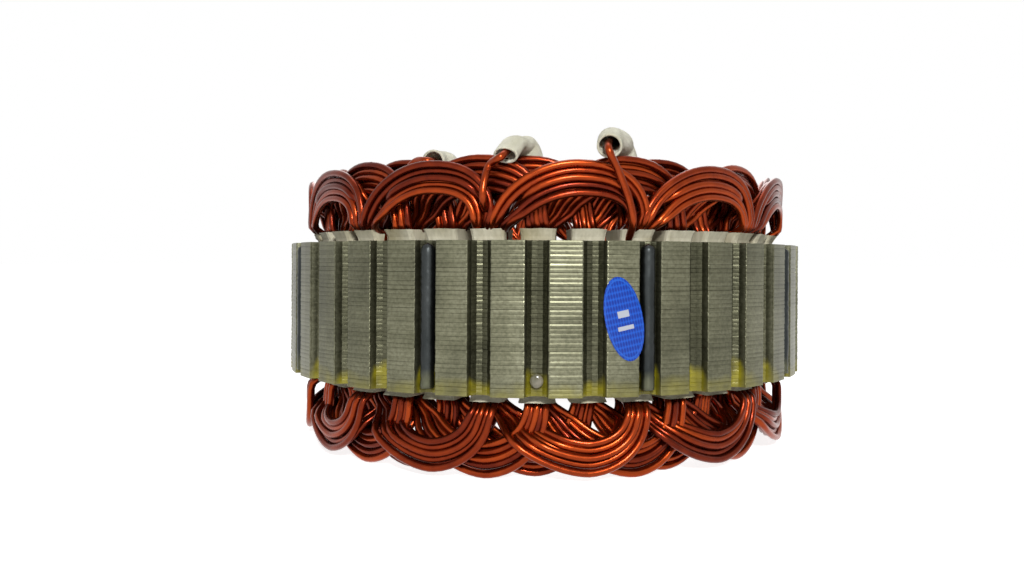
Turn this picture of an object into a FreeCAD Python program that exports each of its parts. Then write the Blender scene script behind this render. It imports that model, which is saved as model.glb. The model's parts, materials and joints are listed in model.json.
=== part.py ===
"""Wound stator of a vehicle alternator: welded lamination stack, slot liners, wedges and winding.

The stator axis is Z and the origin is the centre of the rotor bore. Slots lie every 10 degrees, and one
of them points along -Y. Angles named "bearing" are measured from -Y towards +X. Millimetres throughout.
"""
import FreeCAD, Part
import Sketcher
import math
import os

SLOTS = 36
PHASES = 3
POLES = SLOTS // PHASES
WELD_EVERY = 4          # one notch in four carries a weld bead
SLOT_PITCH = 360 / SLOTS
POLE_PITCH = 360 / POLES
WELDED_BEARING = -20    # a notch that carries a weld bead

# alias, value, meaning
SIZES = (
    ("bore_radius", 50.5, "tooth tips, the rotor turns inside"),
    ("slot_depth", 13, "from the tooth tips to the slot floors"),
    ("yoke", 3.9, "steel between a slot floor and a notch floor"),
    ("core_length", 33, "34 laminations of 0.97 mm"),
    ("slot_mouth", 2, "opening between two tooth tips"),
    ("tip_thickness", 1.1, "radial thickness of a tooth tip at its edge"),
    ("tip_slope", 1, "radial length of the slope behind a tooth tip"),
    ("tooth_width", 3.2, "width of the parallel-sided teeth"),
    ("slot_corner", 1, "chamfer in the corners of a slot floor"),
    ("notch_width", 5, "width of an outer notch at the rim"),
    ("notch_depth", 3.1, "depth of an outer notch"),
    ("liner_wall", 0.3, "thickness of the liner paper"),
    ("slip", 0.05, "clearance of liners and wedges"),
    ("liner_rise", 2.7, "height of the liner cuffs over the core"),
    ("liner_drop", 2, "length of the liner cuffs under the core"),
    ("wedge_thickness", 0.7, "radial thickness of a slot wedge"),
    ("wedge_rise", 1.5, "length of a wedge past the core at each end"),
    ("bundle_slack", 0.1, "clearance between wires and liner"),
    ("winding_outset", 2.9, "how far the coil ends stand outside the slot floors"),
    ("layer_thickness", 2.8, "radial thickness of one phase's coil end"),
    ("layer_gap", 0.25, "gap between the phases' coil ends"),
    ("foot_rise", 2.9, "height at which the wires leave the liners"),
    ("layer_base", 3.6, "height at which the feet have reached their layer"),
    ("outer_crest", 17.8, "height of the outer phase's coil end"),
    ("inner_crest", 19.1, "height of the other two coil ends"),
    ("foot_lap", 1, "how far the feet reach up into the coil ends"),
    ("window_sill", 2, "height at which an arch's window starts"),
    ("window_head", 10.2, "height of the underside of an arch"),
    ("foot_width", 5.6, "width of the feet between two windows"),
    ("bead_radius", 1.25, "radius of a weld bead"),
    ("bead_proud", 0.2, "how far a bead stands out of the rim"),
    ("bead_web", 1.2, "width of the fused tongue behind a bead"),
    ("bead_top_gap", 0.6, "distance of a bead from the core's upper face"),
    ("bead_bottom_gap", 1.2, "distance of a bead from the core's lower face"),
    ("bead_dome", 0.7, "height of a bead's rounded upper end"),
    ("lead_radius", 0.85, "radius of a lead's magnet wire"),
    ("sleeve_radius", 2.8, "outside radius of a lead sleeve"),
    ("sleeve_wall", 0.7, "wall of a lead sleeve"),
    ("lead_stub", 2.5, "straight bare wire past each end of a sleeve"),
    ("rest_gap", 0.2, "gap under a lead or a sleeve that lies on the winding"),
    ("label_width", 8.4, "width of the oval label"),
    ("label_height", 18.1, "height of the oval label"),
    ("label_thickness", 0.15, "thickness of the oval label"),
    ("label_tilt", 12, "lean of the oval label, in degrees"),
    ("label_bearing", 15.1, "bearing of the oval label, in degrees"),
)

doc = FreeCAD.newDocument("wound_stator")
sheet = doc.addObject("Spreadsheet::Sheet", "sizes")
for row, (alias, number, meaning) in enumerate(SIZES, start=1):
    sheet.set(f"A{row}", meaning)
    sheet.set(f"B{row}", str(number))
    sheet.setAlias(f"B{row}", alias)
doc.recompute()

sub_parts = []

# Radii and heights that several pieces share, as expressions of the sheet.
SLOT_FLOOR = "(sizes.bore_radius + sizes.slot_depth)"
CORE_RADIUS = f"({SLOT_FLOOR} + sizes.yoke + sizes.notch_depth)"
WINDING_RADIUS = f"({SLOT_FLOOR} + sizes.winding_outset)"
HALF_CORE = "sizes.core_length / 2"
SLOT_SHOULDER = "(sizes.bore_radius + sizes.tip_thickness + sizes.tip_slope)"
WEDGE_FOOT = f"({SLOT_SHOULDER} + 3 * sizes.slip)"
WEDGE_HEAD = f"({WEDGE_FOOT} + sizes.wedge_thickness)"
LINER_INSET = "(sizes.slip + sizes.liner_wall)"
BUNDLE_FOOT = f"({WEDGE_HEAD} + sizes.bundle_slack)"
BUNDLE_HEAD = f"({SLOT_FLOOR} - {LINER_INSET} - 0.4 * sizes.slot_corner)"


def value(expression):
    """Number that an expression of the sheet stands for."""
    return float(sheet.evalExpression(expression))


def slot_wall(radius, inset="0"):
    """Half width of a slot at a radius, for a wall set back by an inset."""
    half = SLOT_PITCH / 2
    return f"(({radius}) * tan({half}) - (sizes.tooth_width / 2 + {inset}) / cos({half}))"


def new_body(name):
    """Body that becomes a sub-part of its own."""
    body = doc.addObject("PartDesign::Body", name)
    body.Label = name
    body.AllowCompound = True
    sub_parts.append(body)
    return body


def turn(item, degrees):
    """Turn a finished sub-part about the stator axis."""
    item.Placement = FreeCAD.Placement(
        FreeCAD.Vector(), FreeCAD.Rotation(FreeCAD.Vector(0, 0, 1), degrees))


def new_sketch(body, name, role="XY_Plane", height=None, angle=0):
    """Sketch on one of the body's own origin planes, lifted by an expression and turned about Z."""
    sketch = body.newObject("Sketcher::SketchObject", name)
    plane = next(f for f in body.Origin.OriginFeatures if f.Role == role)
    sketch.AttachmentSupport = (plane, "")
    sketch.MapMode = "FlatFace"
    sketch.AttachmentOffset = FreeCAD.Placement(
        FreeCAD.Vector(), FreeCAD.Rotation(FreeCAD.Vector(0, 0, 1), angle))
    if height:
        sketch.setExpression("AttachmentOffset.Base.z", height)
    return sketch


def add_outline(sketch, corners):
    """Closed outline of straight lines, each corner bound to a pair of expressions."""
    first = len(sketch.Geometry)
    count = len(corners)
    points = [FreeCAD.Vector(value(x), value(y), 0) for x, y in corners]
    for i in range(count):
        sketch.addGeometry(Part.LineSegment(points[i], points[(i + 1) % count]), False)
    for i in range(count):
        following = first + (i + 1) % count
        sketch.addConstraint(Sketcher.Constraint("Coincident", first + i, 2, following, 1))
    for i, corner in enumerate(corners):
        for kind, expression in zip(("DistanceX", "DistanceY"), corner):
            constraint = Sketcher.Constraint(kind, first + i, 1, value(expression))
            index = sketch.addConstraint(constraint)
            sketch.setExpression(f"Constraints[{index}]", expression)


def add_circle(sketch, radius):
    """Circle about the sketch's origin, its radius bound to an expression."""
    circle = Part.Circle(FreeCAD.Vector(), FreeCAD.Vector(0, 0, 1), value(radius))
    item = sketch.addGeometry(circle, False)
    sketch.addConstraint(Sketcher.Constraint("Coincident", item, 3, -1, 1))
    index = sketch.addConstraint(Sketcher.Constraint("Radius", item, value(radius)))
    sketch.setExpression(f"Constraints[{index}]", radius)


def mirrored(corners):
    """Corners of one side of an outline, followed by the same ones across the X axis."""
    return corners + [(x, f"-({y})") for x, y in reversed(corners)]


def pad(body, name, sketch, length):
    """Pad of a sketch by an expression."""
    feature = body.newObject("PartDesign::Pad", name)
    feature.Profile = sketch
    feature.setExpression("Length", length)
    sketch.Visibility = False
    return feature


def pocket(body, name, sketch, reverse=False):
    """Pocket of a sketch through everything on one side of it."""
    feature = body.newObject("PartDesign::Pocket", name)
    feature.Profile = sketch
    feature.Type = "ThroughAll"
    feature.Reversed = reverse
    sketch.Visibility = False
    return feature


def around(body, name, originals, count):
    """Polar pattern about the stator axis, of some features or of the whole body so far."""
    pattern = body.newObject("PartDesign::PolarPattern", name)
    axis = next(f for f in body.Origin.OriginFeatures if f.Role == "Z_Axis")
    pattern.Axis = (axis, [""])
    pattern.Angle = 360
    pattern.Occurrences = count
    if originals:
        pattern.Originals = originals
    else:
        pattern.TransformMode = "Whole shape"
    body.Tip = pattern
    return pattern


def checked_cut(body, before, name):
    """Stop if a cut took no material away."""
    doc.recompute()
    if not body.Shape.Volume < before - 1e-3:
        raise RuntimeError(f"{name} cut nothing")


def lamination_stack():
    """Welded stack: ring with slots open to the bore and a notch outside each slot."""
    body = new_body("lamination_stack")
    ring = new_sketch(body, "ring_outline", height=f"-{HALF_CORE}")
    add_circle(ring, CORE_RADIUS)
    add_circle(ring, "sizes.bore_radius")
    pad(body, "ring", ring, "sizes.core_length")
    doc.recompute()

    whole = body.Shape.Volume
    slot = new_sketch(body, "slot_outline", height=f"-{HALF_CORE}")
    tip = "(sizes.bore_radius + sizes.tip_thickness)"
    corner_start = f"({SLOT_FLOOR} - sizes.slot_corner)"
    add_outline(slot, mirrored([
        ("sizes.bore_radius - 2 * sizes.tip_slope", "sizes.slot_mouth / 2"),
        (tip, "sizes.slot_mouth / 2"),
        (SLOT_SHOULDER, slot_wall(SLOT_SHOULDER)),
        (corner_start, slot_wall(corner_start)),
        (SLOT_FLOOR, f"{slot_wall(SLOT_FLOOR)} - sizes.slot_corner"),
    ]))
    slot_cut = pocket(body, "slot", slot, reverse=True)
    checked_cut(body, whole, "the slot")

    slotted = body.Shape.Volume
    notch = new_sketch(body, "notch_outline", height=f"-{HALF_CORE}")
    floor_angle = 24
    side = [(f"{CORE_RADIUS} + sizes.notch_depth", "sizes.notch_width / 2")]
    for angle in (90, 56, floor_angle):
        depth = f"sizes.notch_depth * cos({angle}) / cos({floor_angle})"
        side.append((f"{CORE_RADIUS} - {depth}", f"sizes.notch_width / 2 * sin({angle})"))
    add_outline(notch, mirrored(side))
    notch_cut = pocket(body, "notch", notch, reverse=True)
    checked_cut(body, slotted, "the notch")
    around(body, "slots_and_notches", [slot_cut, notch_cut], SLOTS)


def weld_bead(number):
    """Bead fused to a tongue on the floor of a notch, with a rounded upper end."""
    body = new_body(f"weld_bead_{number + 1}")
    centre = f"({CORE_RADIUS} + sizes.bead_proud - sizes.bead_radius * cos(22.5))"
    tongue = f"{CORE_RADIUS} - sizes.notch_depth + sizes.slip"
    bead_side = [(f"{centre} + sizes.bead_radius * cos({a})", f"sizes.bead_radius * sin({a})")
                 for a in (22.5, 67.5, 112.5)]
    web_side = [(f"{centre} - sizes.bead_radius * cos(22.5)", "sizes.bead_web / 2"),
                (tongue, "sizes.bead_web / 2")]
    section = new_sketch(body, "bead_outline",
                         height="-sizes.core_length / 2 + sizes.bead_bottom_gap")
    add_outline(section, mirrored(bead_side + web_side))
    straight = ("sizes.core_length - sizes.bead_bottom_gap - sizes.bead_top_gap"
                " - sizes.bead_dome")
    pad(body, "bead", section, straight)
    ring = new_sketch(body, "dome_outline",
                      height=f"{HALF_CORE} - sizes.bead_top_gap - sizes.bead_dome")
    add_outline(ring, [(f"{centre} + sizes.bead_radius * cos({a})", f"sizes.bead_radius * sin({a})")
                       for a in [22.5 + 45 * i for i in range(8)]])
    dome = pad(body, "dome", ring, "sizes.bead_dome")
    doc.recompute()
    bead_top = value(f"{HALF_CORE} - sizes.bead_top_gap")
    crown = [f"Edge{i + 1}" for i, edge in enumerate(dome.Shape.Edges)
             if all(abs(vertex.Z - bead_top) < 1e-6 for vertex in edge.Vertexes)]
    chamfer = body.newObject("PartDesign::Chamfer", "dome_edge")
    chamfer.Base = (dome, crown)
    chamfer.setExpression("Size", "0.8 * sizes.bead_dome")
    turn(body, WELDED_BEARING - 90 + number * WELD_EVERY * SLOT_PITCH)


def slot_liner(number):
    """Folded paper channel that lines one slot and stands out as a cuff at both ends."""
    body = new_body(f"slot_liner_{number + 1:02d}")
    section = new_sketch(body, "liner_outline", height=f"-({HALF_CORE} + sizes.liner_drop)")
    side = []
    for inset in ("sizes.slip", LINER_INSET):
        back = f"({SLOT_FLOOR} - {inset})"
        corner = f"({back} - sizes.slot_corner)"
        lip = f"({SLOT_SHOULDER} + 2 * sizes.slip)"
        wall = [(lip, slot_wall(lip, inset)),
                (corner, slot_wall(corner, inset)),
                (back, f"{slot_wall(back, inset)} - sizes.slot_corner")]
        side.append(wall)
    outside, inside = side
    inside = list(reversed(inside))
    add_outline(section, outside + [(x, f"-({y})") for x, y in reversed(outside)]
                + [(x, f"-({y})") for x, y in reversed(inside)] + inside)
    pad(body, "liner", section, "sizes.core_length + sizes.liner_drop + sizes.liner_rise")
    turn(body, -90 + number * SLOT_PITCH)


def slot_wedges():
    """Strips that close the slots behind the tooth tips, one in each slot."""
    body = new_body("slot_wedges")
    section = new_sketch(body, "wedge_outline", height=f"-({HALF_CORE} + sizes.wedge_rise)")
    half_width = slot_wall(WEDGE_FOOT, f"({LINER_INSET} + sizes.slip)")
    add_outline(section, mirrored([(WEDGE_FOOT, half_width), (WEDGE_HEAD, half_width)]))
    wedge = pad(body, "wedge", section, "sizes.core_length + 2 * sizes.wedge_rise")
    around(body, "wedges", [wedge], SLOTS)


def layer_section(body, name, height, inside, outside):
    """Sketch of one arch's share of a coil end seen along the axis, faceted every 10 degrees."""
    sketch = new_sketch(body, name, height=height)
    angles = [SLOT_PITCH * (i - 1.5) for i in range(4)]
    corners = [(f"({outside}) * cos({a})", f"({outside}) * sin({a})") for a in angles]
    corners += [(f"({inside}) * cos({a})", f"({inside}) * sin({a})") for a in reversed(angles)]
    add_outline(sketch, corners)
    return sketch


def arch_outlines(body, inside, outside, crest):
    """Sketch of what the arch leaves open: the window under it and the sky over it."""
    half = POLE_PITCH / 2
    sketch = new_sketch(body, "arch_openings", role="YZ_Plane")
    sill = f"({HALF_CORE} + sizes.window_sill)"
    window_half = f"(({inside}) * sin({half}) - sizes.foot_width / 2)"
    window_rise = "(sizes.window_head - sizes.window_sill)"
    add_outline(sketch, [(f"{window_half} * sin({a})", f"{sill} + {window_rise} * cos({a}) / cos(18)")
                         for a in (-90, -54, -18, 18, 54, 90)])
    base = f"({HALF_CORE} + sizes.layer_base)"
    arch_half = f"(1.08 * ({outside}) * sin({half}))"
    arch_rise = f"({crest} - sizes.layer_base)"
    sky = f"{HALF_CORE} + 1.2 * {crest}"
    over = [(f"{arch_half} * sin({a})", f"{base} + {arch_rise} * cos({a}) / cos(20)")
            for a in (-90, -55, -20, 20, 55, 90)]
    add_outline(sketch, over + [(arch_half, sky), (f"-{arch_half}", sky)])
    return sketch


def phase_winding(name, layer, crest, first_bearing):
    """Split wave winding of one phase: twelve slot bundles joined by arches at both ends.

    It is drawn with an arch on the +X axis. Layer 0 is the outer coil end. The first bearing is that of
    one of its slots.
    """
    body = new_body(name)
    outside = f"({WINDING_RADIUS} - {layer} * (sizes.layer_thickness + sizes.layer_gap))"
    inside = f"({outside} - sizes.layer_thickness)"
    base = layer_section(body, "layer_base", f"{HALF_CORE} + sizes.layer_base", inside, outside)
    envelope = pad(body, "coil_end", base, f"{crest} - sizes.layer_base")
    doc.recompute()
    whole = envelope.Shape.Volume
    pocket(body, "window_and_sky", arch_outlines(body, inside, outside, crest), reverse=True)
    checked_cut(body, whole, "the arch's window")
    foot = new_sketch(body, "foot_outline", height=f"{HALF_CORE} + sizes.foot_rise",
                      angle=POLE_PITCH / 2)
    spread = "(0.6 * sizes.foot_width)"
    reach = f"({outside} - {spread} * tan({SLOT_PITCH / 2}) - sizes.slip)"
    add_outline(foot, mirrored([(f"({BUNDLE_HEAD} - sizes.layer_thickness)", spread), (reach, spread)]))
    pad(body, "foot", foot, "sizes.layer_base - sizes.foot_rise + sizes.foot_lap")
    around(body, "upper_coil_end", None, POLES)
    lower = body.newObject("PartDesign::Mirrored", "both_coil_ends")
    plane = next(f for f in body.Origin.OriginFeatures if f.Role == "XY_Plane")
    lower.MirrorPlane = (plane, [""])
    lower.TransformMode = "Whole shape"
    body.Tip = lower
    doc.recompute()

    end = f"({HALF_CORE} + sizes.layer_base + sizes.foot_lap)"
    bundle_half = slot_wall(BUNDLE_FOOT, f"({LINER_INSET} + sizes.bundle_slack)")
    section = new_sketch(body, "bundle_outline", height=f"-{end}", angle=POLE_PITCH / 2)
    add_outline(section, mirrored([(BUNDLE_FOOT, bundle_half), (BUNDLE_HEAD, bundle_half)]))
    bundle = pad(body, "slot_bundle", section, f"2 * {end}")
    around(body, "slot_bundles", [bundle], POLES)
    turn(body, first_bearing - 90 + POLE_PITCH / 2)


def place(radius, bearing, height):
    """Point at a radius and bearing, at a height over the core's upper face."""
    angle = math.radians(bearing - 90)
    return FreeCAD.Vector(radius * math.cos(angle), radius * math.sin(angle),
                          value(HALF_CORE) + height)


def round_bar(name, route, radius, sides=8):
    """Solid that follows a route of straight runs with an eight-sided section."""
    line = doc.addObject("Part::Polygon", f"{name}_route")
    line.Nodes = route
    section = doc.addObject("Part::RegularPolygon", f"{name}_section")
    section.Polygon = sides
    section.setExpression("Circumradius", radius)
    section.Placement = FreeCAD.Placement(
        route[0], FreeCAD.Rotation(FreeCAD.Vector(0, 0, 1), route[1] - route[0]))
    bar = doc.addObject("Part::Sweep", f"{name}_bar")
    bar.Sections = [section]
    bar.Spine = (line, [f"Edge{i + 1}" for i in range(len(route) - 1)])
    bar.Solid = True
    bar.Transition = "Right corner"
    return bar


def lead(number, wire_points, sleeve_points):
    """Lead of stiff magnet wire, and the sleeve that it runs through for the rest of its length."""
    sleeve_route = [place(*point) for point in sleeve_points]
    entry = sleeve_route[0] - sleeve_route[1]
    run = sleeve_route[-1] - sleeve_route[-2]
    entry.normalize()
    run.normalize()
    stub = value("sizes.lead_stub")
    wire_route = [place(*point) for point in wire_points] + [sleeve_route[0] + entry * stub]
    wire_route += sleeve_route[1:-1] + [sleeve_route[-1] + run * stub]
    wire = round_bar(f"lead_{number}", wire_route, "sizes.lead_radius")
    wire.Label = f"lead_wire_{number}"
    sub_parts.append(wire)
    outside = round_bar(f"sleeve_{number}", sleeve_route, "sizes.sleeve_radius")
    hollow = round_bar(f"hollow_{number}", sleeve_route, "sizes.sleeve_radius - sizes.sleeve_wall")
    sleeve = doc.addObject("Part::Cut", f"lead_sleeve_{number}")
    sleeve.Base = outside
    sleeve.Tool = hollow
    sleeve.Label = f"lead_sleeve_{number}"
    sub_parts.append(sleeve)


def leads():
    """The three leads: each rises from its phase, bends into a sleeve and dips inside the coil ends."""
    wire = value("sizes.lead_radius")
    tube = value("sizes.sleeve_radius")
    gap = value("sizes.rest_gap")
    rim = value(WINDING_RADIUS)
    layer = value("sizes.layer_thickness + sizes.layer_gap")
    outer_crest = value("sizes.outer_crest")
    crest = value("sizes.inner_crest")
    wire_face = rim + gap + wire
    over = crest + 2 * gap + tube
    inner_face = (rim - 3 * layer + value("sizes.layer_gap")) * math.cos(math.radians(SLOT_PITCH / 2))
    tucked = inner_face - 2 * gap - tube
    round_edge = 0.78 * (tube + gap)
    rolling = inner_face - round_edge
    second = rim - 1.5 * layer
    lead(1, [(second, -30, 0.62 * crest), (second, -29.3, 0.88 * crest),
             (second, -27, crest + 1.5 * gap + wire)],
         [(rim - 2.22 * layer, -23, crest + 0.4 * wire), (inner_face, -22.4, crest),
          (rolling, -21.8, 0.93 * crest), (tucked, -21, 0.75 * crest),
          (tucked, -19, 0.42 * crest)])
    lead(2, [(wire_face, -10, 0.4 * crest), (wire_face - gap, -9.8, 0.66 * crest),
             (rim - wire, -9.2, 0.85 * crest)],
         [(rim - 0.7 * layer, -6, outer_crest + 0.5 * tube), (rim - 2 * layer, -3.4, over),
          (inner_face, -1.8, over), (rolling, -1, crest + round_edge),
          (tucked, 0.4, 0.97 * crest), (tucked, 1.6, 0.4 * crest)])
    lead(3, [(wire_face, 17.6, 0.2 * crest), (wire_face, 16.7, 0.45 * crest),
             (wire_face, 14.9, 0.76 * crest)],
         [(rim + 2 * gap, 13.2, outer_crest + 0.9 * tube), (rim - 1.3 * layer, 15, over + 2 * gap),
          (inner_face, 20.3, over + gap), (rolling, 21.8, crest + round_edge),
          (tucked, 23.6, 0.97 * crest), (tucked, 26, 0.4 * crest)])


def oval_label():
    """Thin oval label bent round the rim."""
    inner = doc.addObject("Part::Cylinder", "label_inside")
    inner.setExpression("Radius", f"{CORE_RADIUS} + sizes.slip / 2")
    outer = doc.addObject("Part::Cylinder", "label_outside")
    outer.setExpression("Radius", f"{CORE_RADIUS} + sizes.slip / 2 + sizes.label_thickness")
    for cylinder in (inner, outer):
        cylinder.setExpression("Height", "sizes.core_length")
        cylinder.Angle = 2 * SLOT_PITCH
        cylinder.setExpression("Placement.Base.z", f"-{HALF_CORE}")
        cylinder.setExpression("Placement.Rotation.Angle",
                               f"sizes.label_bearing - 90 - {SLOT_PITCH}")
    skin = doc.addObject("Part::Cut", "label_skin")
    skin.Base = outer
    skin.Tool = inner
    oval = doc.addObject("PartDesign::Body", "label_oval")
    outline = new_sketch(oval, "oval_outline", role="YZ_Plane")
    sides = 20
    corners = []
    for i in range(sides):
        along = f"sizes.label_height / 2 * cos({360 * i / sides})"
        across = f"sizes.label_width / 2 * sin({360 * i / sides})"
        corners.append((f"{across} * cos(sizes.label_tilt) - {along} * sin(sizes.label_tilt)",
                        f"{across} * sin(sizes.label_tilt) + {along} * cos(sizes.label_tilt)"))
    add_outline(outline, corners)
    pad(oval, "oval", outline, f"1.1 * {CORE_RADIUS}")
    oval.setExpression("Placement.Rotation.Angle", "sizes.label_bearing - 90")
    label = doc.addObject("Part::Common", "oval_label")
    label.Base = skin
    label.Tool = oval
    label.Label = "oval_label"
    sub_parts.append(label)


lamination_stack()
for bead in range(SLOTS // WELD_EVERY):
    weld_bead(bead)
for slot_number in range(SLOTS):
    slot_liner(slot_number)
slot_wedges()
phase_winding("phase_winding_outer", 0, "sizes.outer_crest", 20)
phase_winding("phase_winding_middle", 1, "sizes.inner_crest", 0)
phase_winding("phase_winding_inner", 2, "sizes.inner_crest", 10)
leads()
oval_label()
doc.recompute()

for item in doc.Objects:
    if {"Invalid", "Error"} & set(item.State):
        raise RuntimeError(f"{item.Label} failed: {item.State}")
os.makedirs("parts", exist_ok=True)
for item in sub_parts:
    if item.Shape.isNull() or not item.Shape.isValid() or not item.Shape.Solids:
        raise RuntimeError(f"{item.Label} has no valid solid")
for item in sub_parts:
    item.Shape.exportStep(f"parts/{item.Label}.step")
print(f"{len(sub_parts)} sub-parts, {sum(len(item.Shape.Solids) for item in sub_parts)} solids")
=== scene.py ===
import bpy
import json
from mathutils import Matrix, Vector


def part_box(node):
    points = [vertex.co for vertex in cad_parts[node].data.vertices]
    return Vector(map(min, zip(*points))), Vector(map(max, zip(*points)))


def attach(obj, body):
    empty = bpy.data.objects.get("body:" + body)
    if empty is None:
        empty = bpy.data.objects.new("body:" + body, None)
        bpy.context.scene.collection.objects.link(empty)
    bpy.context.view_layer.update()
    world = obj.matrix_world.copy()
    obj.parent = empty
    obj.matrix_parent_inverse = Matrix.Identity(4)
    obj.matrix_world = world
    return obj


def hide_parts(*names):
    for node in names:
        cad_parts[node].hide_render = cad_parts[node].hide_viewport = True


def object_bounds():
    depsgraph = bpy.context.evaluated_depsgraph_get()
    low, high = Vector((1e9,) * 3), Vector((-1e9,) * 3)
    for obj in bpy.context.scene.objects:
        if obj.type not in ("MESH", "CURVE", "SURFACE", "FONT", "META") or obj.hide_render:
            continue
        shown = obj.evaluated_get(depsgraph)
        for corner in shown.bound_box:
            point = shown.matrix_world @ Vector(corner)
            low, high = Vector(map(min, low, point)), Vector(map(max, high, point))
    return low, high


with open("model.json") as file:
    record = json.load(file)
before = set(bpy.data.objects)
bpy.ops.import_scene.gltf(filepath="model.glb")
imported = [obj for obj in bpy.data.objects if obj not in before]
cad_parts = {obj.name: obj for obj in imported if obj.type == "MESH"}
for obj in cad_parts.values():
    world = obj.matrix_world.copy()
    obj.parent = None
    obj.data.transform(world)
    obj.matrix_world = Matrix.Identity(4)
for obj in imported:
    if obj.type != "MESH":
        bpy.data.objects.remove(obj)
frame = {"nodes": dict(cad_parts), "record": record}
import bpy
import bmesh
import json
import math
import random
from mathutils import Quaternion, Vector

MM = 0.001
cad_low, cad_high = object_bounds()

# Sizes shared with the solids, in millimetres. Bearings run from -Y towards +X, in degrees.
mounts = {mount["name"]: mount for mount in frame["record"]["mounts"]}
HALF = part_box("lamination_stack")[1].z / MM         # half the height of the lamination stack
RIM = mounts["front_register"]["dims"]["r_mm"]      # radius of the core
BORE = mounts["rotor_bore"]["dims"]["r_mm"]         # radius of the rotor's bore
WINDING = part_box("phase_winding_outer")[1].x / MM   # radius of the outer winding's face
CREST = [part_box(f"phase_winding_{n}")[1].z / MM - HALF for n in ("outer", "middle", "inner")]
LAYER = 3.05            # radial pitch of the three windings
WIRE = 0.825            # radius of a winding's wire
SLOTS = 36
PITCH = 360 / SLOTS
SHEETS = 34
SLOT_FLOOR = 63.5       # radius of the slots' outer end
SLOT_SHOULDER = 52.6    # radius where the tooth tips end
SLOT_CORNER = 1.0       # chamfer of the slots' outer corners
MOUTH_HALF = 1.0        # half the width of a slot's mouth
TIP = 1.1               # thickness of a tooth tip
TOOTH = 3.2             # width of a tooth
NOTCH_HALF = 2.5        # half the width of an outer notch
NOTCH_DEPTH = 3.1


def spot(radius, bearing, z):
    """Point in metres from a radius and height in millimetres and a bearing in degrees."""
    a = math.radians(bearing - 90)
    return Vector((radius * math.cos(a), radius * math.sin(a), z)) * MM


def ease(x):
    """Smooth step from 0 to 1."""
    x = min(1.0, max(0.0, x))
    return x * x * (3 - 2 * x)


def link_object(name, data):
    """Object of a mesh, lamp or camera, linked to the scene."""
    obj = bpy.data.objects.new(name, data)
    bpy.context.scene.collection.objects.link(obj)
    return obj


def mesh_object(name, verts, faces, smooth=True):
    """Object of a new mesh."""
    mesh = bpy.data.meshes.new(name)
    mesh.from_pydata([tuple(v) for v in verts], [], faces)
    mesh.update()
    if smooth:
        mesh.polygons.foreach_set("use_smooth", [True] * len(mesh.polygons))
    return link_object(name, mesh)


def finish_piece(obj, material, slot, *nodes):
    """Material, body and the CAD nodes that a piece stands for; the slot argument is not used."""
    obj.data.materials.append(material)
    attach(obj, "root")
    if nodes:
        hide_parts(*nodes)


# ---------------------------------------------------------------- shader nodes

def new_material(name):
    """Material, its Principled shader and short ways to add nodes and feed the shader."""
    material = bpy.data.materials.new(name)
    material.use_nodes = True
    nodes, links = material.node_tree.nodes, material.node_tree.links
    shader = nodes["Principled BSDF"]

    def add(kind, inputs=(), **settings):
        node = nodes.new(kind)
        for key, setting in settings.items():
            setattr(node, key, setting)
        for socket, source in dict(inputs).items():
            target = node.inputs[socket]
            if isinstance(source, bpy.types.NodeSocket):
                links.new(source, target)
            else:
                target.default_value = source
        return node

    def feed(socket, source):
        links.new(source, shader.inputs[socket])

    return material, shader, add, feed


def ramp(add, source, stops):
    """Colour ramp through (position, colour) stops."""
    node = add("ShaderNodeValToRGB", {"Fac": source})
    for i, (position, colour) in enumerate(stops):
        stop = node.color_ramp.elements[i] if i < 2 else node.color_ramp.elements.new(position)
        stop.position = position
        stop.color = (*colour, 1)
    return node.outputs["Color"]


def blend(add, share, first, second):
    """First colour where the share is 0 and second colour where it is 1."""
    return add("ShaderNodeMix", {0: share, 6: first, 7: second}, data_type="RGBA").outputs[2]


def multiply(add, first, second):
    """Product of two colours."""
    return add("ShaderNodeMix", {0: 1.0, 6: first, 7: second}, data_type="RGBA",
               blend_type="MULTIPLY").outputs[2]


def reckon(add, operation, first, second=0.0):
    """Result of a math node."""
    return add("ShaderNodeMath", {0: first, 1: second}, operation=operation).outputs[0]


def remap(add, source, low, high, start=0.0, end=1.0):
    """Takes start to low and end to high, and stays between them."""
    return add("ShaderNodeMapRange", {"Value": source, "From Min": start, "From Max": end,
                                      "To Min": low, "To Max": high}).outputs[0]


def object_point(add, scale=(1, 1, 1)):
    """Object coordinates, stretched."""
    where = add("ShaderNodeTexCoord")
    return add("ShaderNodeMapping", {"Vector": where.outputs["Object"], "Scale": scale}).outputs[0]


def noise(add, vector, scale, detail=3):
    """Noise texture's value."""
    return add("ShaderNodeTexNoise", {"Vector": vector, "Scale": scale, "Detail": detail,
                                      "Roughness": 0.55}).outputs["Fac"]


def bump(add, feed, height, strength, distance):
    """Bump on the shader's normal."""
    node = add("ShaderNodeBump", {"Height": height, "Strength": strength, "Distance": distance})
    feed("Normal", node.outputs[0])


def over_core(add):
    """Height and radius, in metres, of a shaded point of the core."""
    where = add("ShaderNodeTexCoord").outputs["Object"]
    height = add("ShaderNodeSeparateXYZ", {"Vector": where}).outputs["Z"]
    flat = add("ShaderNodeVectorMath", {0: where, 1: (1, 1, 0)}, operation="MULTIPLY").outputs[0]
    radius = add("ShaderNodeVectorMath", {0: flat}, operation="LENGTH").outputs["Value"]
    return height, radius


# ---------------------------------------------------------------- materials

def resin_cover(add, height, land):
    """Share of resin over a point: it ends in an uneven line that stands higher in the notches."""
    edge = noise(add, object_point(add, (1, 1, 0.5)), 110)
    climb = reckon(add, "MULTIPLY", edge, remap(add, land, 0.0115, 0.0075))
    line = reckon(add, "ADD", climb, -HALF * MM - 0.0012)
    under = reckon(add, "SUBTRACT", line, height)
    cover = remap(add, under, 0.0, 1.0, -0.0008, 0.0012)
    return reckon(add, "MULTIPLY", cover, remap(add, land, 0.95, 0.42))


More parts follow.
